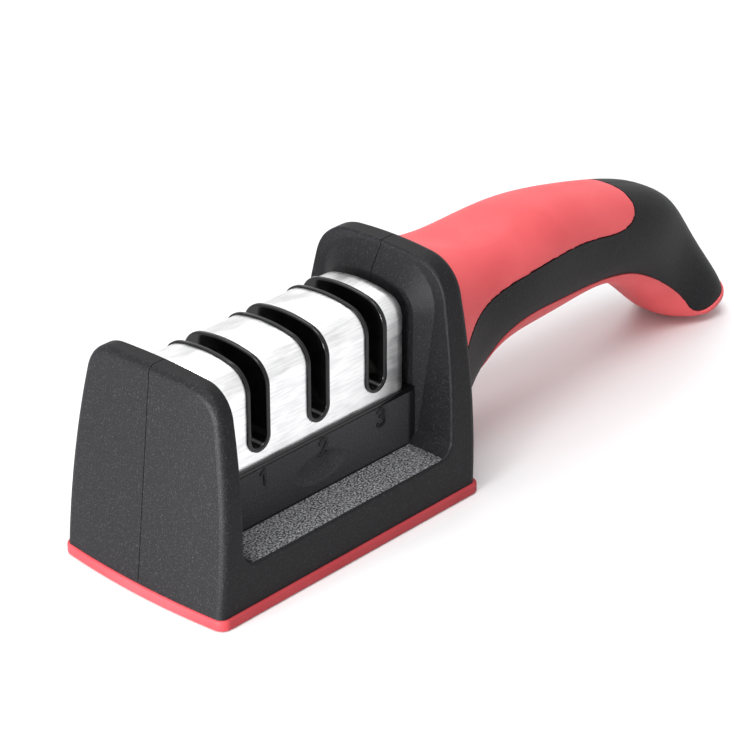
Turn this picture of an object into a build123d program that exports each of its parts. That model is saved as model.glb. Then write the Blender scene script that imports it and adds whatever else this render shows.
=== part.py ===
from build123d import *
import math
import os

os.makedirs("parts", exist_ok=True)

# Three-stage pull-through knife sharpener.  Millimetres, +Z up.  The origin is the centre of the
# base's underside; +X runs back along the handle, and the knife is drawn through along Y.

# ---------------------------------------------------------------- driving dimensions
# Base pad and base plate
base_length = 85.0          # pad, between its front corners and its rear edge
base_width = 51.4           # pad, side to side
base_corner = 2.7           # corner radius in plan
nose_bow = 1.35             # how far the front edge swells forward at the middle
pad_height = 2.7            # visible band of the pad
pad_floor = 1.4             # thickness under the plate
pad_rim = 3.0               # width of the pad's raised edge
pad_lip = 0.65              # how far the pad stands out past the shells
pad_edge = 0.6
plate_thickness = 3.0
plate_corner = 2.0

# Body shells
shell_wall = 2.0
nose_wall = 2.4             # behind the leaning front face
seam_gap = 0.2              # between the two shells, on the middle plane
side_radius = 190.0         # the sides are bowed from top to bottom
side_widest = 8.0           # height at which they are furthest apart
shelf_height = 13.0
wall_lean = 3.6             # degrees that the nose's rear wall and the tower's front wall lean back
nose_depth = 7.1            # nose, front to rear, at the shelf's height
nose_height = 54.4
nose_lean = 5.9             # how far the front face leans back over its height
nose_shoulder = 8.5
nose_crown = 200.0          # radius of its slightly arched top
nose_edge = 2.0             # rounding of the nose's front rim
tower_depth = 9.2           # the rear wall that carries the handle, at the shelf's height
tower_height = 59.0
tower_shoulder = 10.5
tower_crown = 110.0
tower_edge = 2.5            # rounding of the tower's rear rim
window_edge = 0.7           # rounding of the window's rim
window_fillet = 3.8         # inside corners where the shelf meets nose and tower
collar_front = 32.2         # raised collar on the tower round the steel cover's end
collar_depth = 3.4
collar_start = 0.5          # its front edge stands this far outside the cover's arch,
collar_end = 6.3            # and its rear edge this far
plinth_top = 26.4
plinth_width = 27.2
plinth_wall = 1.8
plinth_edge = 0.4
dish_length = 16.5          # shallow oval dish in each side of the plinth
dish_height = 7.5
dish_depth = 0.6
dish_x = 0.8
dish_z = 19.0
digit_foot = 21.7           # the stage digits stand on this height,
digit_shift = 0.5           # and this far behind their slots' middles
digit_stroke = 0.75
digit_proud = 0.3
digit_strokes = [           # two points are a line, three are an arc
    [[(-0.9, 3.2), (0.2, 4.1)], [(0.2, 4.1), (0.2, 0.4)]],
    [[(-1.1, 3.1), (0.3, 4.1), (0.9, 2.5)], [(0.9, 2.5), (-1.1, 0.4)], [(-1.1, 0.4), (1.2, 0.4)]],
    [[(-1.0, 3.7), (0.9, 3.3), (-0.2, 2.35)], [(-0.2, 2.35), (1.1, 1.2), (-1.1, 0.7)]],
]
nose_cavity_top = 38.0
tower_cavity_top = 49.0

# Steel cover and sharpening cassette
slot_middle = 1.3           # where the middle slot is along the body
slot_pitch = 18.8
slot_width = 4.6
slot_floor = 31.3           # lowest point of the slot's round bottom
rim_wall = 1.05             # plastic lip around each slot
rim_proud = 0.5             # how far that lip stands out of the steel
rim_mouth = 0.5             # rounding of the lip where the knife enters
cover_width = 25.2
cover_crest = 51.8
cover_crown = 36.5          # radius of the arched top
cover_shoulder = 6.0
cover_sheet = 0.5
cover_front_gap = 0.4       # from the cover's crest to the nose
cover_rear_gap = 0.75       # from the cover to the collar
cover_end_radius = 4.0
flange_thickness = 1.0
flange_edge = 0.3
cassette_wall = 1.5
tray_floor_z = 14.9
tray_wall = 1.2
tongue_depth = 0.7          # side tongues of the tray, held in grooves of the shells
tongue_height = 2.0
tongue_z = 19.0
tongue_inset = 8.0          # from the tray's ends to the tongues' ends
saddle_rise = 9.0           # height of the body's ribs above the axle

# Sharpening wheels, stages two and three
wheel_radius = 9.0
wheel_width = 1.9
wheel_groove = 2.0          # depth of the V between the two bevelled discs
wheel_bevel = 20.0          # degrees, half of the V
groove_rise = 1.3           # the V's bottom above the slot's floor
disc_gap = 0.1
hub_radius = 3.0
hub_length = 7.0
hub_flange = 4.2
hub_flange_thickness = 1.0
axle_radius = 1.5
running_clearance = 0.05    # all round the axle, inside a turning hub
seat_clearance = 0.03       # all round a piece that is held still
end_float = 0.3             # between a turning hub and its spacers
saddle_width = 2.4
spacer_radius = 2.5
stage_clearance = 0.6       # round the wheels and above the blades

# Carbide blades, stage one
blade_length = 15.0
blade_height = 5.0
blade_thickness = 1.2
blade_angle = 20.0          # degrees that each blade leans from upright
holder_width = 13.0
holder_thickness = 8.4
holder_foot = 3.0
blade_rise = 4.0            # blade above the point where the two edges cross
blade_screw_drops = (5.2, 9.6)  # the two clamp screws below that point
blade_screw_radius = 0.8
blade_head_radius = 1.6
blade_head_height = 1.0

# Handle: stations measured back from the tower's rear face, and up from the base's underside
handle_crest = [(0, 55.3), (17, 52.6), (40, 52.9), (68, 48.4), (95.4, 38.4), (112.4, 16.3), (117.2, 6.2)]
handle_belly = [(0, 4.7), (16, 19.0), (38, 23.2), (62.6, 23.3), (83.5, 14.8), (99.2, 2.4), (105.7, 1.0)]
handle_half_width = [19.9, 15.9, 14.2, 12.3, 10.8, 11.1, 11.0]
handle_root = 3.6           # how far the handle starts inside the tower
tail_reach = 1.4            # the tail's end cap: how far it stands out,
tail_step = 2.1             # and how much smaller it is all round
oval_power = 2.6            # 2 is an ellipse, more is squarer
under_proud = 0.35          # how far the under grips stand out of the shells
handle_wall = 2.2
grip_thickness = 1.6
grip_gap = 0.1              # between the soft grips and the shells

# Edges of the soft grips, seen from the side
top_grip_edge = [(0, 31.0), (4.3, 35.9), (9, 39.0), (25.6, 42.2), (42, 42.3), (58.8, 40.7), (68.3, 39.4),
                 (74.3, 40.9), (76.5, 45.5)]
under_grip_edge = [(14.5, 20.0), (16.5, 25.6), (21, 28.6), (44, 29.6), (64, 27.4), (74.5, 25.2), (85.4, 19.8),
                   (93.2, 14.3), (99.5, 8.2), (102.3, 4.9), (104.8, 3.8), (107.6, 4.2), (112.5, 6.2), (119, 10)]

# Fasteners
screw_radius = 1.3
screw_head_radius = 2.5
screw_head_height = 1.8
screw_clearance = 0.1
boss_radius = 3.2
tie_boss_radius = 3.8
pin_boss_radius = 2.6
tie_stations = [(17, 33.5), (50, 36.0), (90, 25.5)]      # from the tower's rear face, and up
pin_stations = [(33, 41.0), (73, 31.0)]
nose_pin_inset = 2.7
nose_pin_height = 46.4
tower_pin_inset = 3.3
tower_pin_height = 55.6
base_screw_inset = 14.2     # from the pad's front and rear
base_screw_length = 8.0
tie_screw_length = 12.0
tie_head_y = 6.0            # where the tie screws' heads seat, off the middle plane
cassette_screw_length = 12.0
cassette_screw_radius = 1.0
cassette_head_radius = 1.9
cassette_head_height = 1.2
cassette_boss_radius = 2.2
boss_bite = 0.6             # how far the cassette's bosses run into its walls
hole_spare = 0.6            # how much deeper a screw hole is than its screw
pin_radius = 1.0
pin_length = 8.0
pin_clearance = 0.05
fit_gap = 0.1               # between moulded parts that drop into one another

# ---------------------------------------------------------------- places worked out from them
front = -base_length / 2
rear = base_length / 2
shell_front = front + pad_lip
shell_rear = rear - pad_lip
shell_half = base_width / 2 - pad_lip
window_front = shell_front + nose_depth
window_rear = shell_rear - tower_depth
slot_places = [slot_middle + slot_pitch * k for k in (-1, 0, 1)]
plate_top = pad_floor + plate_thickness
shelf_under = shelf_height - shell_wall
wall_run = math.tan(math.radians(wall_lean))
nose_run = nose_lean / (nose_height - pad_height)
cover_front = window_front + (cover_crest - shelf_height) * wall_run + cover_front_gap
cover_rear = collar_front - cover_rear_gap
cover_foot = plinth_top + flange_thickness
flange_front = window_front + (cover_foot - shelf_height) * wall_run + fit_gap
flange_rear = collar_front - fit_gap
rim_width = slot_width + 2 * rim_wall
rim_floor = slot_floor - rim_wall
tray_half = plinth_width / 2 - plinth_wall - fit_gap
groove_radius = wheel_radius - wheel_groove
axle_z = slot_floor + groove_rise - groove_radius
cassette_front = cover_front + cover_sheet + fit_gap
cassette_rear = cover_rear - cover_sheet - fit_gap
saddle_places = [(slot_places[0] + slot_places[1]) / 2, (slot_places[1] + slot_places[2]) / 2,
                 cassette_rear - saddle_width / 2]
tongue_front = cassette_front + tongue_inset
tongue_rear = cassette_rear - tongue_inset
blade_top = slot_floor + groove_rise + blade_rise
plate_inset = pad_rim + fit_gap
base_screw_places = [(sx * (rear - base_screw_inset), sy * (shell_half + plinth_width / 2) / 2)
                     for sx in (-1, 1) for sy in (-1, 1)]
cassette_screw_inset = tray_wall + cassette_boss_radius - boss_bite
cassette_screw_places = [(x, sy * (tray_half - cassette_screw_inset))
                         for x in (cassette_front + cassette_screw_inset, cassette_rear - cassette_screw_inset)
                         for sy in (-1, 1)]
tie_screw_places = [(shell_rear + x, z) for x, z in tie_stations]
nose_pin_x = window_front + (nose_pin_height - shelf_height) * wall_run - nose_pin_inset
pin_places = [(nose_pin_x, nose_pin_height), (shell_rear - tower_pin_inset, tower_pin_height)]
pin_places += [(shell_rear + x, z) for x, z in pin_stations]
far = 100.0                 # longer than any cut needs
touch = 0.01                # how near two places count as the same
oval_steps = 16             # points round each oval of the handle


def side_half(z):
    """Half width of the body's bowed sides at height z."""
    return shell_half - side_radius + math.sqrt(side_radius ** 2 - (z - side_widest) ** 2)


def wall_x(foot_x, z):
    """Where a leaning wall that starts from foot_x on the shelf is at height z."""
    return foot_x + (z - shelf_height) * wall_run


def plan_outline(length_front, length_rear, half, corner, bow):
    """Plan of the base: a rectangle with round corners whose front edge swells forward."""
    with BuildSketch(Plane.XY) as outline:
        with BuildLine():
            ends = Polyline((length_front, half), (length_rear, half), (length_rear, -half),
                            (length_front, -half))
            if bow > 0:
                ThreePointArc(ends @ 1, (length_front - bow, 0), ends @ 0)
            else:
                Line(ends @ 1, ends @ 0)
        make_face()
        if corner > 0:
            fillet(outline.vertices(), corner)
    return outline.sketch


def end_view(x, height, shoulder, crown):
    """Front view of the nose or tower at x: bowed sides, round shoulders and a slightly arched top."""
    corner_z = height - side_half(height) ** 2 / (2 * crown)
    foot, waist, corner = side_half(0), side_half(corner_z / 2), side_half(corner_z)
    with BuildSketch(Plane.YZ.offset(x)) as view:
        with BuildLine():
            right = ThreePointArc((corner, corner_z), (waist, corner_z / 2), (foot, 0))
            left = ThreePointArc((-foot, 0), (-waist, corner_z / 2), (-corner, corner_z))
            Line(right @ 1, left @ 0)
            ThreePointArc(left @ 1, (0, height), right @ 0)
        make_face()
        fillet(view.vertices().group_by(Axis.Y)[-1], shoulder)
    return view.sketch


def arch_view(x, offset, foot):
    """Front view of the arched cover at x, grown by an offset, standing on height foot."""
    half = cover_width / 2 + offset
    crest, crown = cover_crest + offset, cover_crown + offset
    shoulder_z = crest - crown + math.sqrt(crown ** 2 - half ** 2)
    with BuildSketch(Plane.YZ.offset(x)) as view:
        with BuildLine():
            sides = Polyline((half, shoulder_z), (half, foot), (-half, foot), (-half, shoulder_z))
            ThreePointArc(sides @ 1, (0, crest), sides @ 0)
        make_face()
        fillet(view.vertices().group_by(Axis.Y)[-1], cover_shoulder + offset)
    return view.sketch


def slot_view(width, floor):
    """Side view of a slot: straight sides, a round bottom and no top."""
    with BuildSketch(Plane.XZ) as view:
        for x in slot_places:
            with Locations((x, floor + width / 2)):
                Circle(width / 2)
                Rectangle(width, far, align=(Align.CENTER, Align.MIN))
    return view.sketch


def handle_point(point):
    """A handle station in the part's frame."""
    return Vector(shell_rear + point[0], 0, point[1])


def oval_point(half, rise, step):
    """One point of a squared oval."""
    turn = 2 * math.pi * step / oval_steps
    c, s = math.cos(turn), math.sin(turn)
    power = 2 / oval_power
    return (half * math.copysign(abs(c) ** power, c), rise * math.copysign(abs(s) ** power, s))


def handle_form(inset):
    """The handle as a loft through ovals, shrunk by an inset."""
    crests = [handle_point(p) for p in handle_crest]
    bellies = [handle_point(p) for p in handle_belly]
    halves = list(handle_half_width)
    crests.insert(0, crests[0] - Vector(handle_root, 0, 0))
    bellies.insert(0, bellies[0] - Vector(handle_root, 0, 0))
    halves.insert(0, halves[0])
    end_up = (crests[-1] - bellies[-1]).normalized()
    end_out = Vector(0, 1, 0).cross(end_up)
    crests[-1] -= end_out * inset
    bellies[-1] -= end_out * inset
    crests.append(crests[-1] + end_out * tail_reach - end_up * tail_step)
    bellies.append(bellies[-1] + end_out * tail_reach + end_up * tail_step)
    halves.append(halves[-1] - tail_step)
    with BuildPart() as form:
        for crest, belly, half in zip(crests, bellies, halves):
            up = (crest - belly).normalized()
            section = Plane(origin=(crest + belly) / 2, x_dir=(0, 1, 0), z_dir=Vector(0, 1, 0).cross(up))
            rise = (crest - belly).length / 2 - inset
            with BuildSketch(section):
                with BuildLine():
                    Spline(*[oval_point(half - inset, rise, k) for k in range(oval_steps)], periodic=True)
                make_face()
        loft()
    return form.part


def moved_aside(points, distance):
    """Shift a chain of points sideways, to the right of its direction of travel."""
    moved = []
    for k, point in enumerate(points):
        before = Vector(*points[max(k - 1, 0)])
        after = Vector(*points[min(k + 1, len(points) - 1)])
        along = (after - before).normalized()
        moved.append((point[0] + along.Y * distance, point[1] - along.X * distance))
    return moved


def grip_region(edge, top, grow):
    """Everything above the top grip's edge, or below the under grip's, as seen from the side."""
    stations = [(handle_point((max(x, grip_gap), z)).X, z) for x, z in edge]
    points = moved_aside(stations, grow if top else -grow)
    if top:
        start = shell_rear + grip_gap - grow
        corners = [(points[-1][0], far), (start, far)]
    else:
        corners = [(2 * far, points[-1][1]), (2 * far, -far), (points[0][0], -far)]
    if top and grow > 0:
        corners.append((start, points[0][1]))
    with BuildPart() as region:
        with BuildSketch(Plane.XZ):
            with BuildLine():
                line = Spline(*points)
                Polyline(line @ 1, *corners, line @ 0)
            make_face()
        extrude(amount=far, both=True)
    return region.part


def across(x, z, radius, y_from, y_to, mode=Mode.ADD):
    """Join a round bar along Y to the part being made, or cut it away."""
    with BuildSketch(Plane(origin=(x, y_from, z), x_dir=(1, 0, 0), z_dir=(0, 1, 0))) as view:
        Circle(radius)
    extrude(view.sketch, amount=y_to - y_from, mode=mode)


def upward(x, y, radius, z_from, z_to, mode=Mode.ADD):
    """Join a round bar along Z to the part being made, or cut it away."""
    with BuildSketch(Plane(origin=(x, y, z_from))) as view:
        Circle(radius)
    extrude(view.sketch, amount=z_to - z_from, mode=mode)


def lengthways(radius, x_from, x_to, mode=Mode.ADD, bore=0.0):
    """Join a round bar or sleeve along the axle's line to the part being made, or cut it away."""
    with BuildSketch(Plane(origin=(x_from, 0, axle_z), x_dir=(0, 1, 0), z_dir=(1, 0, 0))) as view:
        Circle(radius)
        if bore > 0:
            Circle(bore, mode=Mode.SUBTRACT)
    extrude(view.sketch, amount=x_to - x_from, mode=mode)


def block(x_from, x_to, half, z_from, z_to, mode=Mode.ADD):
    """Join a block that straddles the middle plane to the part being made, or cut it away."""
    with Locations((x_from, 0, z_from)):
        Box(x_to - x_from, 2 * half, z_to - z_from, align=(Align.MIN, Align.CENTER, Align.MIN), mode=mode)


def one_side(side):
    """Keep what lies on one side of the middle seam; -1 is left, 1 is right."""
    with Locations((0, side * seam_gap / 2, 0)):
        Box(4 * far, far, 2 * far, align=(Align.CENTER, Align.MIN if side > 0 else Align.MAX, Align.CENTER),
            mode=Mode.INTERSECT)


def leaning_block(x_from, x_to, half, z_from, z_to):
    """Join a block to the part being made whose two ends lean back as the walls of the window do."""
    with BuildSketch(Plane.XZ) as view:
        with BuildLine():
            Polyline((wall_x(x_from, z_from), z_from), (wall_x(x_to, z_from), z_from),
                     (wall_x(x_to, z_to), z_to), (wall_x(x_from, z_to), z_to), close=True)
        make_face()
    extrude(view.sketch, amount=half, both=True)


def arched_block(x_from, x_to, offset, foot, end_radius=0.0):
    """A length of the cover's arch, grown by an offset; end_radius rounds its two ends."""
    with BuildPart() as form:
        extrude(arch_view(x_from, offset, foot), amount=x_to - x_from)
        if end_radius > 0:
            ends = [e for e in form.edges() if (on_plane(e, x_from) or on_plane(e, x_to))
                    and e.center().Z > foot + touch]
            fillet(ends, end_radius)
    return form.part


def lean_form(inset):
    """A tall block whose bowed front face leans back, its front set in by an inset."""
    sag = nose_bow * (base_width / shell_half) ** 2
    foot_x = shell_front + inset - nose_bow - pad_height * nose_run
    outline = plan_outline(foot_x + sag, rear + far, base_width, 0, sag)
    with BuildPart() as form:
        extrude(outline, amount=far, dir=(nose_run, 0, 1))
    return form.part


def on_plane(edge, x):
    """Whether an edge lies on the upright plane at x."""
    box = edge.bounding_box()
    return abs(box.min.X - x) < touch and abs(box.max.X - x) < touch


def on_window(edge):
    """Whether an edge belongs to the rim of the window between nose, shelf and tower."""
    box = edge.bounding_box()
    inside = box.min.X > window_front - touch and box.max.X < wall_x(window_rear, tower_height) + touch
    level = box.size.X < touch and box.size.Z < touch
    return inside and box.min.Z > shelf_height - touch and not level


# ---------------------------------------------------------------- body form, before it is hollowed and halved
handle_outer = handle_form(0)
outer_lean = lean_form(0)
envelope = (extrude(end_view(slot_middle, nose_height, nose_shoulder, nose_crown), amount=-far)
            + extrude(end_view(slot_middle, tower_height, tower_shoulder, tower_crown), amount=far))
tower_cavity_front = wall_x(window_rear, tower_cavity_top) + shell_wall
with BuildPart() as plinth:
    block(window_front - shell_wall, tower_cavity_front, plinth_width / 2, shelf_under, plinth_top)
    fillet(plinth.edges().filter_by(Axis.X).group_by(Axis.Z)[-1], plinth_edge)
with BuildPart() as collar:
    add(arch_view(collar_front, collar_start, shelf_under))
    add(arch_view(collar_front + collar_depth, collar_end, shelf_under))
    loft(ruled=True)
with BuildPart() as body_form:
    with BuildSketch(Plane.XZ) as side_view:
        with BuildLine():
            Polyline((-far, pad_height), (-far, far), (wall_x(window_front, far), far),
                     (window_front, shelf_height), (window_rear, shelf_height), (wall_x(window_rear, far), far),
                     (shell_rear, far), (shell_rear, pad_height), close=True)
        make_face()
        fillet(side_view.vertices().filter_by_position(Axis.Y, shelf_height - touch, shelf_height + touch),
               window_fillet)
    extrude(amount=base_width, both=True)
    add(outer_lean, mode=Mode.INTERSECT)
    add(envelope, mode=Mode.INTERSECT)
    fillet(body_form.edges().filter_by(on_window), window_edge)
    nose_rim = [e for e in body_form.edges() if e.center().X < window_front - window_edge
                and e.bounding_box().max.Z > shelf_height and e.geom_type != GeomType.LINE]
    fillet(nose_rim, nose_edge)
    tower_rim = [e for e in body_form.edges() if on_plane(e, shell_rear) and e.bounding_box().max.Z > shelf_height]
    fillet(tower_rim, tower_edge)
    add(collar.part)
    add(plinth.part)
    add(handle_outer)

# the hollow inside both shells, open underneath
inner_lean = lean_form(nose_wall)
handle_inner = handle_form(grip_thickness + handle_wall)
cavity_half = shell_half - shell_wall
tall_half = side_half(tower_cavity_top) - shell_wall
cavity_plan = plan_outline(shell_front + shell_wall, shell_rear - shell_wall, cavity_half, plate_corner, nose_bow)
with BuildPart() as hollow_form:
    extrude(cavity_plan, amount=shelf_under)
    leaning_block(front - nose_depth, window_front - shell_wall, tall_half, pad_height, nose_cavity_top)
    block(tower_cavity_front, shell_rear - shell_wall, tall_half, pad_height, tower_cavity_top)
    add(inner_lean, mode=Mode.INTERSECT)
    extrude(cavity_plan, amount=plate_top + fit_gap)
    block(cassette_front - fit_gap, cassette_rear + fit_gap, plinth_width / 2 - plinth_wall, 0, far)
    add(handle_inner)
    for x, y in base_screw_places:
        upward(x, y, boss_radius, plate_top + fit_gap, shelf_under, Mode.SUBTRACT)
    for x, z in tie_screw_places:
        across(x, z, tie_boss_radius, -far, far, Mode.SUBTRACT)
    for x, z in pin_places:
        across(x, z, pin_boss_radius, -far, far, Mode.SUBTRACT)

# ---------------------------------------------------------------- shells
top_recess = grip_region(top_grip_edge, True, grip_gap)
under_recess = grip_region(under_grip_edge, False, grip_gap)
recess_floor = handle_form(grip_thickness + grip_gap)

with BuildPart() as outer_form:
    add(body_form.part)
    add(top_recess, mode=Mode.SUBTRACT)
    add(under_recess, mode=Mode.SUBTRACT)
    add(recess_floor)

# each dish is the mark of a fat ring, large across and small upright, pressed into the plinth's side
dish_sweep = (dish_length ** 2 / 4 + dish_depth ** 2) / (2 * dish_depth)
dish_round = (dish_height ** 2 / 4 + dish_depth ** 2) / (2 * dish_depth)
with BuildPart() as dish_form:
    with Locations([(dish_x, side * (plinth_width / 2 + dish_sweep - dish_depth), dish_z) for side in (-1, 1)]):
        Torus(dish_sweep - dish_round, dish_round)
    block(dish_x - dish_length, dish_x + dish_length, plinth_width / 2 + dish_depth, 0, plinth_top, Mode.INTERSECT)

with BuildPart() as cut_form:
    add(dish_form.part)
    for x, y in base_screw_places:
        upward(x, y, screw_radius + screw_clearance, 0, pad_floor + base_screw_length + hole_spare)
    for x, z in tie_screw_places:
        across(x, z, screw_radius + screw_clearance, tie_head_y - tie_screw_length - hole_spare, tie_head_y)
        across(x, z, screw_head_radius + screw_clearance, tie_head_y, base_width)
    for x, z in pin_places:
        across(x, z, pin_radius + pin_clearance, -pin_length / 2 - fit_gap, pin_length / 2 + fit_gap)
    block(tongue_front - fit_gap, tongue_rear + fit_gap, tray_half + tongue_depth + fit_gap,
          tongue_z - tongue_height / 2 - fit_gap, tongue_z + tongue_height / 2 + fit_gap)

with BuildPart() as digit_form:
    for side in (-1, 1):
        for x, strokes in zip(slot_places, digit_strokes):
            with BuildSketch(Plane(origin=(x + digit_shift, side * (plinth_width / 2 - digit_proud), digit_foot),
                                   x_dir=(-side, 0, 0), z_dir=(0, side, 0))) as digit:
                for points in strokes:
                    with BuildLine() as stroke:
                        if len(points) == 3:
                            ThreePointArc(*points)
                        else:
                            Line(*points)
                    trace(stroke.edges(), line_width=digit_stroke)
                    with Locations(points[0], points[-1]):
                        Circle(digit_stroke / 2)
            extrude(digit.sketch, amount=2 * digit_proud)

with BuildPart() as shell_form:
    add(outer_form.part)
    add(hollow_form.part, mode=Mode.SUBTRACT)
    add(cut_form.part, mode=Mode.SUBTRACT)
    add(digit_form.part)

for name, side in (("left_shell", -1), ("right_shell", 1)):
    with BuildPart() as shell:
        add(shell_form.part)
        one_side(side)
    shell.part.label = name
    export_step(shell.part, f"parts/{name}.step")

# ---------------------------------------------------------------- soft grips, moulded on each shell
grip_core = handle_form(grip_thickness)
for grip_name, region, outside in (("grip_top", grip_region(top_grip_edge, True, 0), handle_outer),
                                   ("grip_under", grip_region(under_grip_edge, False, 0),
                                    handle_form(-under_proud))):
    with BuildPart() as both_grips:
        add(outside)
        add(region, mode=Mode.INTERSECT)
        add(grip_core, mode=Mode.SUBTRACT)
    for name, side in ((grip_name + "_left", -1), (grip_name + "_right", 1)):
        with BuildPart() as grip:
            add(both_grips.part)
            one_side(side)
        grip.part.label = name
        export_step(grip.part, f"parts/{name}.step")

# ---------------------------------------------------------------- base
with BuildPart() as base_pad:
    extrude(plan_outline(front, rear, base_width / 2, base_corner, nose_bow), amount=pad_height)
    fillet(base_pad.faces().sort_by(Axis.Z)[0].outer_wire().edges(), pad_edge)
    fillet(base_pad.faces().sort_by(Axis.Z)[-1].outer_wire().edges(), pad_edge)
    with BuildSketch(Plane.XY.offset(pad_floor)):
        add(plan_outline(front + pad_rim, rear - pad_rim, base_width / 2 - pad_rim, plate_corner, nose_bow))
    extrude(amount=pad_height, mode=Mode.SUBTRACT)
base_pad.part.label = "base_pad"
export_step(base_pad.part, "parts/base_pad.step")

with BuildPart() as base_plate:
    with BuildSketch(Plane.XY.offset(pad_floor)):
        add(plan_outline(front + plate_inset, rear - plate_inset, base_width / 2 - plate_inset, plate_corner,
                         nose_bow))
    extrude(amount=plate_thickness)
    for x, y in base_screw_places:
        upward(x, y, screw_radius + screw_clearance, 0, far, Mode.SUBTRACT)
        upward(x, y, screw_head_radius + screw_clearance, 0, pad_floor + screw_head_height + fit_gap, Mode.SUBTRACT)
base_plate.part.label = "base_plate"
export_step(base_plate.part, "parts/base_plate.step")

# ---------------------------------------------------------------- steel cover
cover_outside = arched_block(cover_front, cover_rear, 0, cover_foot, cover_end_radius)
cover_inside = arched_block(cover_front + cover_sheet, cover_rear - cover_sheet, -cover_sheet, 0,
                            cover_end_radius - cover_sheet)
rim_openings = extrude(slot_view(rim_width + 2 * fit_gap, rim_floor - fit_gap), amount=base_width, both=True)
with BuildPart() as steel_cover:
    add(cover_outside)
    add(cover_inside, mode=Mode.SUBTRACT)
    add(rim_openings, mode=Mode.SUBTRACT)
steel_cover.part.label = "steel_cover"
export_step(steel_cover.part, "parts/steel_cover.step")

# ---------------------------------------------------------------- cassette: body above the axle, tray below it
body_inset = cover_sheet + fit_gap
inner_inset = body_inset + cassette_wall
cassette_outside = arched_block(cassette_front, cassette_rear, -body_inset, 0, cover_end_radius - body_inset)
cassette_inside = arched_block(cassette_front + cassette_wall, cassette_rear - cassette_wall, -inner_inset, 0,
                               cover_end_radius - inner_inset)
knife_slots = extrude(slot_view(slot_width, slot_floor), amount=base_width, both=True)
with BuildPart() as rims:
    add(extrude(slot_view(rim_width, rim_floor), amount=base_width, both=True))
    add(arched_block(cover_front, cover_rear, rim_proud, 0), mode=Mode.INTERSECT)
    add(knife_slots, mode=Mode.SUBTRACT)
    fillet([e for e in rims.edges() if e.geom_type == GeomType.CIRCLE
            and any(on_plane(e, x + side * slot_width / 2) for x in slot_places for side in (-1, 1))], rim_mouth)
axle_cradle = (axle_radius + seat_clearance, saddle_places[0] - saddle_width / 2 - fit_gap,
               saddle_places[-1] + saddle_width / 2 + fit_gap)

with BuildPart() as cassette_flange:
    block(flange_front, flange_rear, plinth_width / 2, plinth_top, cover_foot)
    fillet(cassette_flange.edges().filter_by(Axis.X), flange_edge)

with BuildPart() as cassette_ribs:
    for x in saddle_places:
        block(x - saddle_width / 2, x + saddle_width / 2, tray_half - fit_gap, axle_z, axle_z + saddle_rise)
    for x, y in cassette_screw_places:
        upward(x, y, cassette_boss_radius, axle_z, axle_z + saddle_rise)
    add(cassette_outside, mode=Mode.INTERSECT)

with BuildPart() as cassette_body:
    add(cassette_outside)
    block(front, rear, base_width, 0, cover_foot, Mode.SUBTRACT)
    add(cassette_flange.part)
    block(cassette_front, cassette_rear, tray_half, axle_z, plinth_top)
    add(cassette_inside, mode=Mode.SUBTRACT)
    add(cassette_ribs.part)
    for x, y in cassette_screw_places:
        upward(x, y, cassette_screw_radius + pin_clearance, 0,
               tray_floor_z + cassette_screw_length + hole_spare, Mode.SUBTRACT)
    add(knife_slots, mode=Mode.SUBTRACT)
    add(rims.part)
    for x in slot_places[1:]:
        lengthways(wheel_radius + stage_clearance, x - slot_width / 2, x + slot_width / 2, Mode.SUBTRACT)
    lengthways(*axle_cradle, Mode.SUBTRACT)
    block(slot_places[0] - holder_width / 2 - fit_gap, slot_places[0] + holder_width / 2 + fit_gap,
          blade_thickness + 2 * fit_gap, 0, blade_top + stage_clearance, Mode.SUBTRACT)
cassette_body.part.label = "cassette_body"
export_step(cassette_body.part, "parts/cassette_body.step")

with BuildPart() as cassette_tray:
    block(tongue_front, tongue_rear, tray_half + tongue_depth, tongue_z - tongue_height / 2,
          tongue_z + tongue_height / 2)
    block(cassette_front, cassette_rear, tray_half, tray_floor_z, axle_z)
    block(cassette_front + tray_wall, cassette_rear - tray_wall, tray_half - tray_wall,
          tray_floor_z + tray_wall, far, Mode.SUBTRACT)
    for x in saddle_places:
        block(x - saddle_width / 2, x + saddle_width / 2, tray_half, tray_floor_z, axle_z)
    for x, y in cassette_screw_places:
        upward(x, y, cassette_boss_radius, tray_floor_z, axle_z)
        upward(x, y, cassette_screw_radius + screw_clearance, 0, far, Mode.SUBTRACT)
        upward(x, y, cassette_head_radius + screw_clearance, 0, tray_floor_z + cassette_head_height, Mode.SUBTRACT)
    lengthways(*axle_cradle, Mode.SUBTRACT)
cassette_tray.part.label = "cassette_tray"
export_step(cassette_tray.part, "parts/cassette_tray.step")

# ---------------------------------------------------------------- stage one: crossed carbide blades
lean = math.radians(blade_angle)
apex_z = slot_floor + groove_rise
blade_screw_places = [(slot_places[0], apex_z - drop) for drop in blade_screw_drops]
for name, side in (("carbide_blade_front", -1), ("carbide_blade_rear", 1)):
    along = Vector(side * math.sin(lean), 0, math.cos(lean))
    outward = Vector(side * math.cos(lean), 0, -math.sin(lean))
    middle = (Vector(slot_places[0], side * (fit_gap + blade_thickness) / 2, apex_z)
              + along * (blade_rise - blade_length / 2) + outward * blade_height / 2)
    with BuildPart() as blade:
        with BuildSketch(Plane(origin=middle, x_dir=outward, z_dir=(0, 1, 0))):
            Rectangle(blade_height, blade_length)
        extrude(amount=blade_thickness / 2, both=True)
        for x, z in blade_screw_places:
            across(x, z, blade_screw_radius + pin_clearance, -far, far, Mode.SUBTRACT)
    blade.part.label = name
    export_step(blade.part, f"parts/{name}.step")

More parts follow.
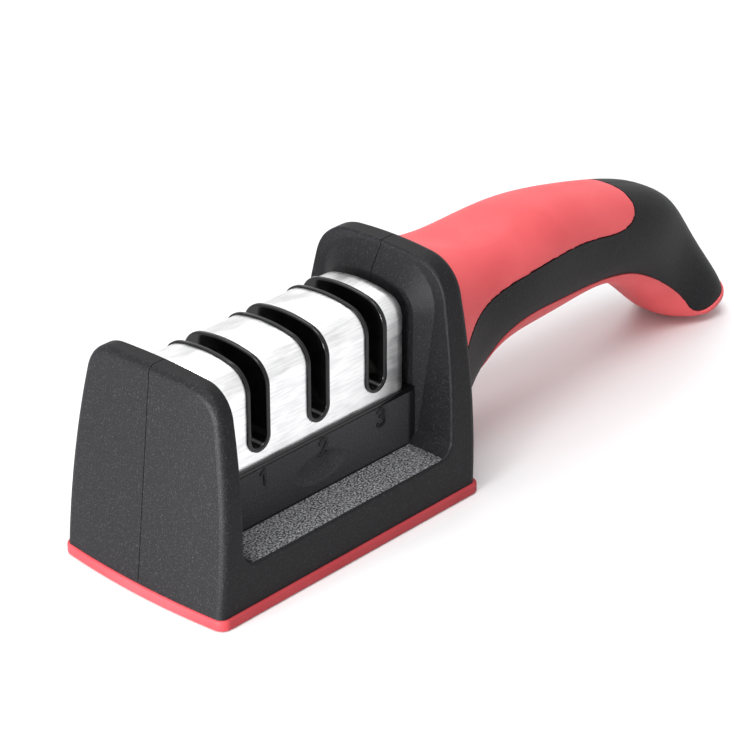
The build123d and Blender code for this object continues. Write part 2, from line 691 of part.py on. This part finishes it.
holder_floor = tray_floor_z + tray_wall + fit_gap
holder_front = slot_places[0] - holder_width / 2
holder_rear = slot_places[0] + holder_width / 2
foot_half = tray_half - cassette_screw_inset - cassette_boss_radius - fit_gap
with BuildPart() as blade_holder:
    block(holder_front, holder_rear, holder_thickness / 2, holder_floor, rim_floor - fit_gap)
    block(holder_front, holder_rear, foot_half, holder_floor, holder_floor + holder_foot)
    block(-far, far, blade_thickness + fit_gap, holder_floor + holder_foot, far, Mode.SUBTRACT)
    for x, z in blade_screw_places:
        across(x, z, blade_screw_radius + pin_clearance, -far, far, Mode.SUBTRACT)
blade_holder.part.label = "blade_holder"
export_step(blade_holder.part, "parts/blade_holder.step")

# ---------------------------------------------------------------- stages two and three: bevelled discs on one axle
bevel_width = wheel_groove * math.tan(math.radians(wheel_bevel))
for stage, x in (("diamond", slot_places[1]), ("ceramic", slot_places[2])):
    disc_foot = x + disc_gap / 2
    stack = disc_gap / 2 + wheel_width
    with BuildPart() as rear_disc:
        with BuildSketch(Plane.XZ):
            with BuildLine():
                Polyline((disc_foot, axle_z + hub_radius + seat_clearance), (disc_foot, axle_z + groove_radius),
                         (disc_foot + bevel_width, axle_z + wheel_radius),
                         (disc_foot + wheel_width, axle_z + wheel_radius),
                         (disc_foot + wheel_width, axle_z + hub_radius + seat_clearance), close=True)
            make_face()
        revolve(axis=Axis((0, 0, axle_z), (1, 0, 0)))
    with BuildPart() as front_disc:
        mirror(rear_disc.part, about=Plane.YZ.offset(x))
    with BuildPart() as hub:
        lengthways(hub_radius, x - hub_length / 2, x + hub_length / 2)
        lengthways(hub_flange, x - stack - hub_flange_thickness, x - stack)
        lengthways(axle_radius + running_clearance, x - hub_length, x + hub_length, Mode.SUBTRACT)
    with BuildPart() as retainer:
        lengthways(hub_flange, x + stack, x + stack + hub_flange_thickness, bore=hub_radius + seat_clearance)
    for name, piece in ((f"{stage}_disc_front", front_disc.part), (f"{stage}_disc_rear", rear_disc.part),
                        (f"{stage}_hub", hub.part), (f"{stage}_retainer", retainer.part)):
        piece.label = name
        export_step(piece, f"parts/{name}.step")

with BuildPart() as wheel_axle:
    lengthways(axle_radius, saddle_places[0] - saddle_width / 2, saddle_places[-1] + saddle_width / 2)
wheel_axle.part.label = "wheel_axle"
export_step(wheel_axle.part, "parts/wheel_axle.step")

hub_reach = hub_length / 2 + end_float
with BuildPart() as axle_spacers:
    for x, before, after in zip(slot_places[1:], saddle_places, saddle_places[1:]):
        lengthways(spacer_radius, before + saddle_width / 2, x - hub_reach, bore=axle_radius + seat_clearance)
        lengthways(spacer_radius, x + hub_reach, after - saddle_width / 2, bore=axle_radius + seat_clearance)
axle_spacers.part.label = "axle_spacers"
export_step(axle_spacers.part, "parts/axle_spacers.step")

# ---------------------------------------------------------------- fasteners
with BuildPart() as base_screws:
    for x, y in base_screw_places:
        upward(x, y, screw_head_radius, pad_floor, pad_floor + screw_head_height)
        upward(x, y, screw_radius, pad_floor + screw_head_height, pad_floor + base_screw_length)
base_screws.part.label = "base_screws"
export_step(base_screws.part, "parts/base_screws.step")

with BuildPart() as tie_screws:
    for x, z in tie_screw_places:
        across(x, z, screw_radius, tie_head_y - tie_screw_length, tie_head_y)
        across(x, z, screw_head_radius, tie_head_y, tie_head_y + screw_head_height)
tie_screws.part.label = "tie_screws"
export_step(tie_screws.part, "parts/tie_screws.step")

with BuildPart() as cassette_screws:
    for x, y in cassette_screw_places:
        upward(x, y, cassette_head_radius, tray_floor_z, tray_floor_z + cassette_head_height)
        upward(x, y, cassette_screw_radius, tray_floor_z + cassette_head_height,
               tray_floor_z + cassette_screw_length)
cassette_screws.part.label = "cassette_screws"
export_step(cassette_screws.part, "parts/cassette_screws.step")

with BuildPart() as blade_screws:
    for x, z in blade_screw_places:
        across(x, z, blade_screw_radius, -holder_thickness / 2, holder_thickness / 2)
        across(x, z, blade_head_radius, -holder_thickness / 2 - blade_head_height, -holder_thickness / 2)
blade_screws.part.label = "blade_screws"
export_step(blade_screws.part, "parts/blade_screws.step")

with BuildPart() as locating_pins:
    for x, z in pin_places:
        across(x, z, pin_radius, -pin_length / 2, pin_length / 2)
locating_pins.part.label = "locating_pins"
export_step(locating_pins.part, "parts/locating_pins.step")
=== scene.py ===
# %% [markdown]
# # Pull-through knife sharpener
#
# A hand-held sharpener that stands on a worktop. Two moulded black halves form the nose, the long shelf,
# the tower and the curved handle in one sweep. Between nose and tower an arched sheet-steel cover sits over
# a glossy black cassette with three slots, and a knife is drawn through each slot in turn. A soft red
# pad under the base and soft red grips on the handle keep it still and comfortable.
#
# The cells below start from the engineering model, keep every hard part of it, remake the soft parts as
# proper moulded skins, and give each surface the finish it has on the real thing. Lengths are in metres;
# `MM` turns millimetres into metres.

import math

import bmesh
import bpy
import numpy as np
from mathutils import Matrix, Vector


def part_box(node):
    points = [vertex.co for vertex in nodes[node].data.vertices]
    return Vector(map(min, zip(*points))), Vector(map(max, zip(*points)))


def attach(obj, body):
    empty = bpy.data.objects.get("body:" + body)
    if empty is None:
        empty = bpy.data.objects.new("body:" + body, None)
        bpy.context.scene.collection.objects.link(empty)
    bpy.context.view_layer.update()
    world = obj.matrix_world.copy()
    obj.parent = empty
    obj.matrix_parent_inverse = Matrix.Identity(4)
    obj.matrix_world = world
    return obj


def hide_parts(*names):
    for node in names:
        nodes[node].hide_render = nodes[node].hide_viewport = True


MM = 0.001
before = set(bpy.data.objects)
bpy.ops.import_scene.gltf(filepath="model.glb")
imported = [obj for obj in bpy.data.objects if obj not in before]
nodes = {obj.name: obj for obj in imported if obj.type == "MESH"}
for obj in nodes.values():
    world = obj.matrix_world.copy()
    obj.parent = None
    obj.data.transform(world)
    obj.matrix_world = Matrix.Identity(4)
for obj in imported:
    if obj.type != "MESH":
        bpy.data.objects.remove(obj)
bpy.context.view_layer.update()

# %% [markdown]
# ## Small tools for materials
#
# Paint and plastic colours are usually given as the six-digit codes of a colour picker. A renderer counts
# light instead, so one function turns such a code into linear light. Another adds one shader node with its
# settings and its links, which keeps the materials below short enough to read.

# %% Colour and shader nodes
def linear(code):
    """A picker's six-digit colour as linear red, green, blue and alpha."""
    parts = [int(code[k:k + 2], 16) / 255 for k in (0, 2, 4)]
    return tuple([p / 12.92 if p <= 0.04045 else ((p + 0.055) / 1.055) ** 2.4 for p in parts] + [1.0])


def node(tree, kind, inputs=None, out=0, **settings):
    """Adds one shader node and gives back one of its outputs. An input is a plain value or such an output."""
    made = tree.nodes.new(kind)
    for name, value in settings.items():
        setattr(made, name, value)
    for name, value in (inputs or {}).items():
        if isinstance(value, bpy.types.NodeSocket):
            tree.links.new(value, made.inputs[name])
        else:
            made.inputs[name].default_value = value
    return made.outputs[out]


print("mid grey is", [round(c, 3) for c in linear("808080")[:3]])

# %% [markdown]
# ## How a moulded or ground surface is described
#
# Every surface here has the same three things: a grain of a known size, a colour that wavers between two
# tones, and a gloss and a relief that follow the grain. Noise sits in the piece's own space, so the grain
# is as large in millimetres on every part and stays put when the part turns. Blender's noise hardly ever
# leaves the range from 0.3 to 0.7, so that range is stretched over the two tones.

# %% Start, grain and finish
NOISE_RANGE = {"From Min": 0.3, "From Max": 0.7}


def start(name, **plain):
    """A material with its node tree and its main shader; plain values go on the shader's own sockets."""
    material = bpy.data.materials.new(name)
    material.use_nodes = True
    shader = material.node_tree.nodes["Principled BSDF"]
    for socket, value in plain.items():
        shader.inputs[socket.replace("_", " ")].default_value = value
    return material, material.node_tree, shader


def grain(tree, size_mm, stretch=(1, 1, 1), detail=2.0):
    """Even noise on the piece itself, with lumps about size_mm across."""
    where = node(tree, "ShaderNodeTexCoord", out="Object")
    where = node(tree, "ShaderNodeMapping", {"Vector": where, "Scale": stretch})
    return node(tree, "ShaderNodeTexNoise", {"Vector": where, "Scale": 1 / (size_mm * MM), "Detail": detail})


def finish(tree, shader, tones, rough, relief, depth_mm):
    """Colour between two tones, roughness between two values and relief, each led by its own noise."""
    lead, dark, light = tones
    lead = node(tree, "ShaderNodeMapRange", {"Value": lead, **NOISE_RANGE})
    colour = node(tree, "ShaderNodeMix", {0: lead, 6: linear(dark), 7: linear(light)}, 2, data_type="RGBA")
    tree.links.new(colour, shader.inputs["Base Color"])
    lead, low, high = rough
    gloss = node(tree, "ShaderNodeMapRange", {"Value": lead, **NOISE_RANGE, "To Min": low, "To Max": high})
    tree.links.new(gloss, shader.inputs["Roughness"])
    bump = node(tree, "ShaderNodeBump", {"Height": relief, "Distance": depth_mm * MM, "Strength": 1.0})
    tree.links.new(bump, shader.inputs["Normal"])


print("helpers ready:", [f.__name__ for f in (start, grain, finish)])

# %% [markdown]
# ## Textured black plastic
#
# The shells are moulded in ABS, a tough plastic, coloured black. The mould is spark-eroded, so the skin has
# an even, very fine grain that hides scratches and takes the shine off. The narrow shelf beside the cassette
# comes from a coarser patch of the mould; its glitter is painted glints, light and dark speckles in its
# colour.
# The plinth above it is painted a little lighter as a painted sheen, and the raised digits are polished.
# One material could be split over several slots, but the shells come as whole meshes, so the patches are
# found by their place: a mask is 1 inside a box and 0 outside.

# %% Masks for parts of a moulding
def inside(tree, value, low, high, soft):
    """1 where value lies between low and high, 0 outside, with edges as wide as soft."""
    rise = node(tree, "ShaderNodeMapRange", {"Value": value, "From Min": low, "From Max": low + soft})
    fall = node(tree, "ShaderNodeMapRange", {"Value": value, "From Min": high, "From Max": high + soft,
                                             "To Min": 1.0, "To Max": 0.0})
    return node(tree, "ShaderNodeMath", {0: rise, 1: fall}, operation="MULTIPLY")


def patch(tree, places, box):
    """A mask for one box, given as the low limit, high limit and softness in mm for each of the places."""
    mask = 1.0
    for value, (low, high, soft) in zip(places, box):
        side = inside(tree, value, low * MM, high * MM, soft * MM)
        mask = node(tree, "ShaderNodeMath", {0: mask, 1: side}, operation="MULTIPLY")
    return mask


# Along the body, out from its middle on either side, and up.
SHELF = ((-33.0, 28.0, 4.0), (13.8, 24.4, 0.1), (12.4, 13.1, 0.1))
PLINTH = ((-33.0, 30.0, 1.0), (12.4, 13.62, 0.04), (13.1, 31.0, 0.3))
DIGITS = ((-22.0, 24.0, 0.1), (13.68, 14.0, 0.05), (21.0, 26.3, 0.1))
print("patches of the shells:", len((SHELF, DIGITS, PLINTH)))

# %% Shell plastic
# A spark-eroded grain is about 0.1 mm across. It is drawn four times as coarse, or it wouldn't show.
SHELL_GRAIN_MM = 0.4
SHELF_GRAIN_MM = 0.45
EVEN_RELIEF = 0.35      # height of the even grain, as a share of the shelf's
GROUND_TONE = 0.245     # how light the plain skin is, on the way from the dark tone to the light one
# The plinth's extra lightness is a painted sheen.
PLINTH_PAINTED_SHEEN = 0.05      # how much lighter the plinth is


def shell_plastic():
    """Satin black, even all over but for the three patches."""
    material, tree, shader = start("textured_black_abs", IOR=1.53, Specular_IOR_Level=0.13)
    where = node(tree, "ShaderNodeTexCoord", out="Object")
    x, y, z = (node(tree, "ShaderNodeSeparateXYZ", {0: where}, axis) for axis in "XYZ")
    out = node(tree, "ShaderNodeMath", {0: y}, operation="ABSOLUTE")
    shelf, digits, plinth = (patch(tree, (x, out, z), box) for box in (SHELF, DIGITS, PLINTH))
    fine = grain(tree, SHELL_GRAIN_MM, detail=1.0)
    coarse = grain(tree, SHELF_GRAIN_MM, detail=2.0)

    # Relief: the even grain stops at the polished digits, and the shelf has its own, deeper one.
    even = node(tree, "ShaderNodeMath", {0: digits, 1: -EVEN_RELIEF, 2: EVEN_RELIEF}, operation="MULTIPLY_ADD")
    even = node(tree, "ShaderNodeMath", {0: fine, 1: even}, operation="MULTIPLY")
    relief = node(tree, "ShaderNodeMath", {0: coarse, 1: shelf, 2: even}, operation="MULTIPLY_ADD")

    # Tone: nearly even black, with painted glints on the shelf as strong light and dark speckles.
    painted_glints = node(tree, "ShaderNodeMath", {0: coarse, 1: 1.6, 2: -0.62}, operation="MULTIPLY_ADD")
    # A lighter plinth: a painted sheen.
    tone = node(tree, "ShaderNodeMath", {0: plinth, 1: PLINTH_PAINTED_SHEEN, 2: GROUND_TONE}, operation="MULTIPLY_ADD")
    tone = node(tree, "ShaderNodeMath", {0: painted_glints, 1: shelf, 2: tone}, operation="MULTIPLY_ADD")
    tone = node(tree, "ShaderNodeMath", {0: fine, 1: 0.1, 2: tone}, operation="MULTIPLY_ADD")

    # Gloss: satin everywhere, and polished where the digits are.
    satin = node(tree, "ShaderNodeMath", {0: fine, 1: 0.2, 2: 0.55}, operation="MULTIPLY_ADD")
    satin = node(tree, "ShaderNodeMath", {0: satin, 1: digits}, operation="SUBTRACT")
    finish(tree, shader, (tone, "141416", "98989c"), (satin, 0.18, 0.56), relief, 0.2)
    return material


black_abs = shell_plastic()
print("material:", black_abs.name)

# %% [markdown]
# ## Polished plastic and brushed steel
#
# The cassette is moulded in the same ABS from a polished mould, so that a blade slides over the lips of its
# slots: it is deep black with narrow bright highlights. The cover is stainless sheet, brushed along its
# length before it was bent. That leaves short faint streaks and, under them, broad patches that are a little
# duller where the brush pressed less. A metal takes its look from what it mirrors, so its own tones are
# nearly white and its roughness does most of the work.

# %% Cassette and cover
def glossy_plastic():
    """Deep black with a slight haze of wear."""
    material, tree, shader = start("polished_black_abs", IOR=1.53, Specular_IOR_Level=0.3)
    haze = grain(tree, 3.0)
    finish(tree, shader, (haze, "08080a", "0e0e0f"), (haze, 0.12, 0.18), grain(tree, 1.5), 0.004)
    return material


def brushed_steel():
    """Streaks 0.3 mm wide and twenty times as long, over patches 4 mm wide and 8 mm long."""
    material, tree, shader = start("brushed_stainless", Metallic=1.0)
    streak = grain(tree, 0.3, stretch=(0.05, 1, 0.6), detail=3.0)
    blotch = grain(tree, 4.0, stretch=(0.5, 1, 1))
    tone = node(tree, "ShaderNodeMath", {0: streak, 1: blotch}, operation="ADD")
    tone = node(tree, "ShaderNodeMath", {0: tone, 1: 0.5}, operation="SUBTRACT")
    finish(tree, shader, (tone, "dededf", "fafafa"), (blotch, 0.27, 0.4), streak, 0.003)
    return material


gloss_black = glossy_plastic()
steel = brushed_steel()
print("materials:", gloss_black.name, steel.name)

# %% [markdown]
# ## The parts inside
#
# Through the slots one sees the two pairs of wheels and the blades, and the screws show from below and from
# the far side. These are plain engineering finishes, each with one grain that leads its colour, gloss and
# relief alike: moulded nylon, zinc plating, ground steel and hard metal, diamond grit bonded to a disc, and
# fired white ceramic.

# %% Inner parts
def plain_finish(name, tones, rough, size_mm, depth_mm, metallic=0.0):
    """A finish with one grain: its colour, roughness and relief all follow it."""
    material, tree, shader = start(name, Metallic=metallic)
    lumps = grain(tree, size_mm)
    finish(tree, shader, (lumps, *tones), (lumps, rough - 0.05, rough + 0.05), lumps, depth_mm)
    return material


nylon = plain_finish("black_nylon", ("1b1b1c", "232324"), rough=0.45, size_mm=0.4, depth_mm=0.01)
plated = plain_finish("zinc_plated_steel", ("a9acb0", "c3c6c9"), 0.28, 0.8, 0.003, metallic=1.0)
ground = plain_finish("ground_steel", ("b9babc", "cfd0d2"), 0.22, 0.2, 0.002, metallic=1.0)
carbide = plain_finish("tungsten_carbide", ("6e7074", "83858a"), 0.30, 0.1, 0.002, metallic=1.0)
diamond = plain_finish("diamond_grit", ("6f6b62", "a29e94"), 0.55, 0.12, 0.03, metallic=0.7)
ceramic = plain_finish("white_ceramic", ("dcd8cc", "efece2"), rough=0.60, size_mm=0.15, depth_mm=0.015)
print("materials:", [m.name for m in (nylon, plated, ground, carbide, diamond, ceramic)])

# %% [markdown]
# ## Soft red rubber
#
# The grips and the pad are a thermoplastic rubber moulded over the hard shells. It has a satin skin with a
# fine grain, and its colour drifts slightly over a few centimetres as the melt flowed. The thick grips are a
# lighter coral, and a little light scatters under their surface. The thin pad is a deeper red and lets no
# light in.

# %% Rubber
def red_rubber(name, tones, rough, scatter):
    """Satin red; scatter is the share of light that goes in and comes out again, reddened."""
    material, tree, shader = start(name, IOR=1.5, Specular_IOR_Level=0.22, Subsurface_Weight=scatter,
                                   Subsurface_Scale=0.6 * MM, Subsurface_Radius=(1.0, 0.25, 0.2))
    fine = grain(tree, 0.4, detail=1.0)
    drift = grain(tree, 18.0)
    finish(tree, shader, (drift, *tones), (fine, rough - 0.05, rough + 0.06), fine, 0.05)
    return material


grip_rubber = red_rubber("coral_red_grip_rubber", ("dd585c", "e76367"), rough=0.5, scatter=0.08)
pad_rubber = red_rubber("red_base_rubber", ("a5363c", "ae4046"), rough=0.58, scatter=0.0)
print("materials:", grip_rubber.name, pad_rubber.name)

# %% [markdown]
# ## Dress the hard parts
#
# Every hard part keeps its engineered shape; only its finish is set here.

# %% Materials on the hard parts
finishes = {
    black_abs: ["left_shell", "right_shell", "base_plate"],
    gloss_black: ["cassette_body"],
    steel: ["steel_cover"],
    nylon: ["cassette_tray", "blade_holder", "axle_spacers", "diamond_hub", "diamond_retainer",
            "ceramic_hub", "ceramic_retainer"],
    plated: ["base_screws", "tie_screws", "cassette_screws", "blade_screws"],
    ground: ["wheel_axle", "locating_pins"],
    carbide: ["carbide_blade_front", "carbide_blade_rear"],
    diamond: ["diamond_disc_front", "diamond_disc_rear"],
    ceramic: ["ceramic_disc_front", "ceramic_disc_rear"],
}
for material, names in finishes.items():
    for name in names:
        mesh = nodes[name].data
        mesh.materials.clear()
        mesh.materials.append(material)
print("dressed", sum(len(names) for names in finishes.values()), "hard parts")

# %% [markdown]
# ## The grips as moulded skins
#
# Each grip is moulded in one shot round the handle, so it has no sharp edges: its borders are rolled over
# where the rubber meets the hard shell. A bevel would need clean edge loops, which the engineering mesh
# lacks. Instead the two halves are pushed a little into each other across the middle and wrapped in one
# fine even net, and the net is relaxed a few times, which rounds every border by itself.

# %% Join, wrap and relax
SEAM = 0.2 * MM         # points nearer to the middle than this lie on the cut between the halves
OVERLAP = 0.3 * MM      # how far each half is pushed past the middle
WELD = 0.002 * MM
NET = 0.35 * MM         # mesh width of the new skin
RELAX_ROUNDS = 6


def joined_halves(names):
    """Points and faces of a left and a right half, each pushed past the middle so that they merge."""
    points, faces = [], []
    for name in names:
        mesh = nodes[name].data
        co = np.array([v.co for v in mesh.vertices])
        side = np.sign(co[:, 1].mean())
        co[np.abs(co[:, 1]) < SEAM, 1] = -side * OVERLAP
        faces += [[k + len(points) for k in p.vertices] for p in mesh.polygons]
        points += co.tolist()
    return points, faces


def welded(name, halves):
    """A mesh of both halves in which points at one place are one point."""
    points, faces = joined_halves(halves)
    mesh = bpy.data.meshes.new(name)
    mesh.from_pydata(points, [], faces)
    weld = bmesh.new()
    weld.from_mesh(mesh)
    bmesh.ops.remove_doubles(weld, verts=weld.verts, dist=WELD)
    weld.to_mesh(mesh)
    weld.free()
    return mesh


def soft_skin(name, halves):
    """A new piece: the halves under one even net, with rolled borders."""
    piece = bpy.data.objects.new(name, welded(name, halves))
    bpy.context.scene.collection.objects.link(piece)
    net = piece.modifiers.new("Net", "REMESH")
    net.mode = "VOXEL"
    net.voxel_size = NET
    smooth = piece.modifiers.new("Relax", "SMOOTH")
    smooth.factor = 0.5
    smooth.iterations = RELAX_ROUNDS
    bpy.context.view_layer.update()
    made = bpy.data.meshes.new_from_object(piece.evaluated_get(bpy.context.evaluated_depsgraph_get()))
    piece.modifiers.clear()
    piece.data = made
    made.polygons.foreach_set("use_smooth", [True] * len(made.polygons))
    made.materials.clear()
    made.materials.append(grip_rubber)
    return piece


grip_top = soft_skin("grip_top", ("grip_top_left", "grip_top_right"))
grip_under = soft_skin("grip_under", ("grip_under_left", "grip_under_right"))
print("faces of the grips:", len(grip_top.data.polygons), len(grip_under.data.polygons))

# %% [markdown]
# ## The thumb's place
#
# Just behind the tower the upper grip sinks into a shallow oval, where the thumb presses the sharpener down.
# A dip this soft is easiest to write as a formula: each point on the crest goes down by an amount that fades
# smoothly to nothing at the oval's edge.

# %% Thumb rest
THUMB_X, THUMB_LENGTH, THUMB_WIDTH, THUMB_DEPTH = 64 * MM, 32 * MM, 18 * MM, 0.9 * MM
CREST = 0.3             # only points whose surface faces upward by more than this belong to the crest


def press_thumb_rest(piece):
    """Sinks the crest of the upper grip into a shallow oval."""
    for v in piece.data.vertices:
        if v.normal.z > CREST:
            away = math.hypot((v.co.x - THUMB_X) / (THUMB_LENGTH / 2), v.co.y / (THUMB_WIDTH / 2))
            if away < 1:
                v.co.z -= THUMB_DEPTH * (1 - away * away) ** 1.5


press_thumb_rest(grip_top)
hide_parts("grip_top_left", "grip_top_right")
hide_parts("grip_under_left", "grip_under_right")
for piece in (grip_top, grip_under):
    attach(piece, "housing")
print("thumb rest", round(THUMB_LENGTH / MM), "mm long and", round(THUMB_DEPTH / MM, 1), "mm deep")

# %% [markdown]
# ## The base pad
#
# The pad is a shallow rubber tray under the base. Its rim stands a little proud of the shells as a red
# band with rolled edges, and its front edge swells gently forward like the nose above it. Such a rim is one
# profile carried round an outline, so two short lists of points make the whole piece: the outline seen from
# above, and the profile seen end on.

# %% Outline of the pad
PAD_CORNER = 2.7 * MM
PAD_BOW = 1.35 * MM     # how far the front edge swells forward in its middle


def round_corner(x, y, turn, steps=10):
    """Points and outward directions round one corner, a quarter turn from the direction turn."""
    points = []
    for k in range(steps + 1):
        angle = math.radians(turn + 90 * k / steps)
        out_x, out_y = math.cos(angle), math.sin(angle)
        points.append((x + PAD_CORNER * out_x, y + PAD_CORNER * out_y, out_x, out_y))
    return points


def bowed_front(x, half_width, steps=24):
    """Points and outward directions along the front edge, between its two corners."""
    points = []
    for k in range(1, steps):
        y = half_width * (1 - 2 * k / steps)
        slope = 2 * PAD_BOW * y / half_width ** 2
        size = math.hypot(1, slope)
        points.append((x + PAD_BOW * (y / half_width) ** 2, y, -1 / size, slope / size))
    return points


def pad_outline(low, high):
    """The whole outline from above, with the outward direction at each point."""
    front, rear = low.x + PAD_CORNER + PAD_BOW, high.x - PAD_CORNER
    right, left = low.y + PAD_CORNER, high.y - PAD_CORNER
    return (round_corner(rear, left, 0) + round_corner(front, left, 90) + bowed_front(low.x, left)
            + round_corner(front, right, 180) + round_corner(rear, right, 270))


pad_low, pad_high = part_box("base_pad")
print("points round the pad:", len(pad_outline(pad_low, pad_high)))

# %% Pad skin
PAD_ROLL = 0.55 * MM    # radius of the rolled edges
PAD_RIM = 3.0 * MM      # width of the rim
PAD_FLOOR = 1.4 * MM    # thickness of the tray inside the rim
ROLL_STEPS = [math.radians(a) for a in (0, 22, 45, 68, 90)]


def pad_profile(height):
    """The rim end on: how far inside the outline and how high each point lies."""
    lower = [(PAD_ROLL * (1 - math.sin(a)), PAD_ROLL * (1 - math.cos(a))) for a in ROLL_STEPS]
    upper = [(PAD_ROLL * (1 - math.cos(a)), height - PAD_ROLL * (1 - math.sin(a))) for a in ROLL_STEPS]
    return [(PAD_RIM, 0.0)] + lower + upper + [(PAD_RIM, height), (PAD_RIM, PAD_FLOOR)]


def base_pad(low, high):
    """The profile carried round the outline, closed below and inside the rim."""
    outline = pad_outline(low, high)
    made = bmesh.new()
    rings = [[made.verts.new((x - nx * inset, y - ny * inset, z)) for x, y, nx, ny in outline]
             for inset, z in pad_profile(high.z)]
    for a, b in zip(rings, rings[1:]):
        for k in range(len(outline)):
            j = (k + 1) % len(outline)
            made.faces.new((a[k], a[j], b[j], b[k]))
    made.faces.new(list(reversed(rings[0])))
    made.faces.new(rings[-1])
    bmesh.ops.recalc_face_normals(made, faces=made.faces)
    mesh = bpy.data.meshes.new("base_pad_skin")
    made.to_mesh(mesh)
    made.free()
    mesh.polygons.foreach_set("use_smooth", [True] * len(mesh.polygons))
    mesh.materials.append(pad_rubber)
    piece = bpy.data.objects.new("base_pad_skin", mesh)
    bpy.context.scene.collection.objects.link(piece)
    return piece


pad = base_pad(pad_low, pad_high)
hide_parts("base_pad")
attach(pad, "housing")
print(pad.name, "faces:", len(pad.data.polygons))

# %% [markdown]
# ## Camera
#
# A long lens looks down at the sharpener from its front left. A long lens stands far away and flattens the
# perspective, which keeps the sides of a small product nearly parallel.

# %% Camera
CAMERA_PLACE = Vector((-406.55, -407.18, 340.4)) * MM
CAMERA_TURN, CAMERA_DROP = math.radians(42.772), math.radians(27.76)
LENS_MM = 139.2


def aim(thing, place_at, towards):
    """Puts a lamp or camera at a place and turns it towards a point."""
    thing.location = place_at
    thing.rotation_euler = (Vector(towards) - Vector(place_at)).to_track_quat("-Z", "Y").to_euler()


scene = bpy.context.scene
camera = bpy.data.objects.new("camera", bpy.data.cameras.new("camera"))
scene.collection.objects.link(camera)
scene.camera = camera
camera.data.lens = LENS_MM
camera.data.sensor_width = 36.0
look = Vector((math.cos(CAMERA_TURN) * math.cos(CAMERA_DROP), math.sin(CAMERA_TURN) * math.cos(CAMERA_DROP),
               -math.sin(CAMERA_DROP)))
aim(camera, CAMERA_PLACE, CAMERA_PLACE + look)
print("camera stands", round(CAMERA_PLACE.length / MM), "mm from the middle of the base")

# %% [markdown]
# ## Floor and surroundings
#
# The floor and the air round it are plain white. Flooding a black object with light until the floor burns
# out would wash it grey, so the white is painted instead: a ray that sees the floor or the surroundings
# directly, or in a mirror, finds them bright, and the light that bounces from them stays modest. The floor
# still shows the object's shadow.

# %% Floor and surroundings
FLOOR_REACH = 3.0
FLOOR_GAP = 0.05 * MM   # keeps the floor just under the pad, so that the two don't flicker
SKY_LIGHT = 0.5


def seen_directly(tree):
    """1 for rays from the camera, mirrors and clear pieces, 0 for the light that bounces."""
    camera_ray, glossy_ray, clear_ray = (node(tree, "ShaderNodeLightPath", out=f"Is {kind} Ray")
                                         for kind in ("Camera", "Glossy", "Transmission"))
    direct = node(tree, "ShaderNodeMath", {0: camera_ray, 1: glossy_ray}, operation="MAXIMUM")
    return node(tree, "ShaderNodeMath", {0: direct, 1: clear_ray}, operation="MAXIMUM")


def white_floor():
    """A wide white table top."""
    mesh = bpy.data.meshes.new("floor")
    corners = [(x * FLOOR_REACH, y * FLOOR_REACH, 0) for x, y in ((-1, -1), (1, -1), (1, 1), (-1, 1))]
    mesh.from_pydata(corners, [], [(0, 1, 2, 3)])
    floor = bpy.data.objects.new("floor", mesh)
    scene.collection.objects.link(floor)
    floor.location.z = -FLOOR_GAP
    material, tree, shader = start("white_table", Roughness=0.6)
    tone = node(tree, "ShaderNodeMix", {0: seen_directly(tree), 6: linear("bebebe"), 7: linear("efeff0")}, 2,
                data_type="RGBA")
    tree.links.new(tone, shader.inputs["Base Color"])
    mesh.materials.append(material)
    return floor


def surroundings(strength):
    """White all round, and as bright as strength for the light that falls on the object."""
    world = bpy.data.worlds.new("studio")
    scene.world = world
    world.use_nodes = True
    tree = world.node_tree
    level = node(tree, "ShaderNodeMapRange", {"Value": seen_directly(tree), "To Min": strength, "To Max": 1.0})
    tree.nodes["Background"].inputs["Color"].default_value = (1, 1, 1, 1)
    tree.links.new(level, tree.nodes["Background"].inputs["Strength"])


floor = white_floor()
surroundings(SKY_LIGHT)
print("floor", 2 * FLOOR_REACH, "m wide, surroundings at", SKY_LIGHT)

# %% [markdown]
# ## Lamps
#
# Two large soft lamps hang over the table, one on the viewer's side and one behind, so that every edge of
# the black shells is drawn by a soft highlight. A low bright card in front of the nose lights its face,
# which the two from above would leave dark.

# %% Lamps
def softbox(name, place_at, towards, width, height, watts):
    """A rectangular lamp that shines evenly from its whole face."""
    lamp = bpy.data.objects.new(name, bpy.data.lights.new(name, "AREA"))
    lamp.data.shape = "RECTANGLE"
    lamp.data.size = width
    lamp.data.size_y = height
    lamp.data.energy = watts
    scene.collection.objects.link(lamp)
    aim(lamp, place_at, towards)
    return lamp


handle_root = (0.05, 0.0, 0.02)
nose = (-0.04, 0.0, 0.03)
lamps = [softbox("key_softbox", (-0.2, -0.15, 0.9), handle_root, width=0.5, height=0.5, watts=5.6),
         softbox("back_softbox", (0.3, 0.45, 0.9), handle_root, width=0.7, height=0.4, watts=3.3),
         softbox("low_card", (-0.7, -0.06, 0.06), nose, width=0.4, height=0.1, watts=14.0)]
scene.view_settings.view_transform = "Standard"
print("lamps:", [lamp.name for lamp in lamps])
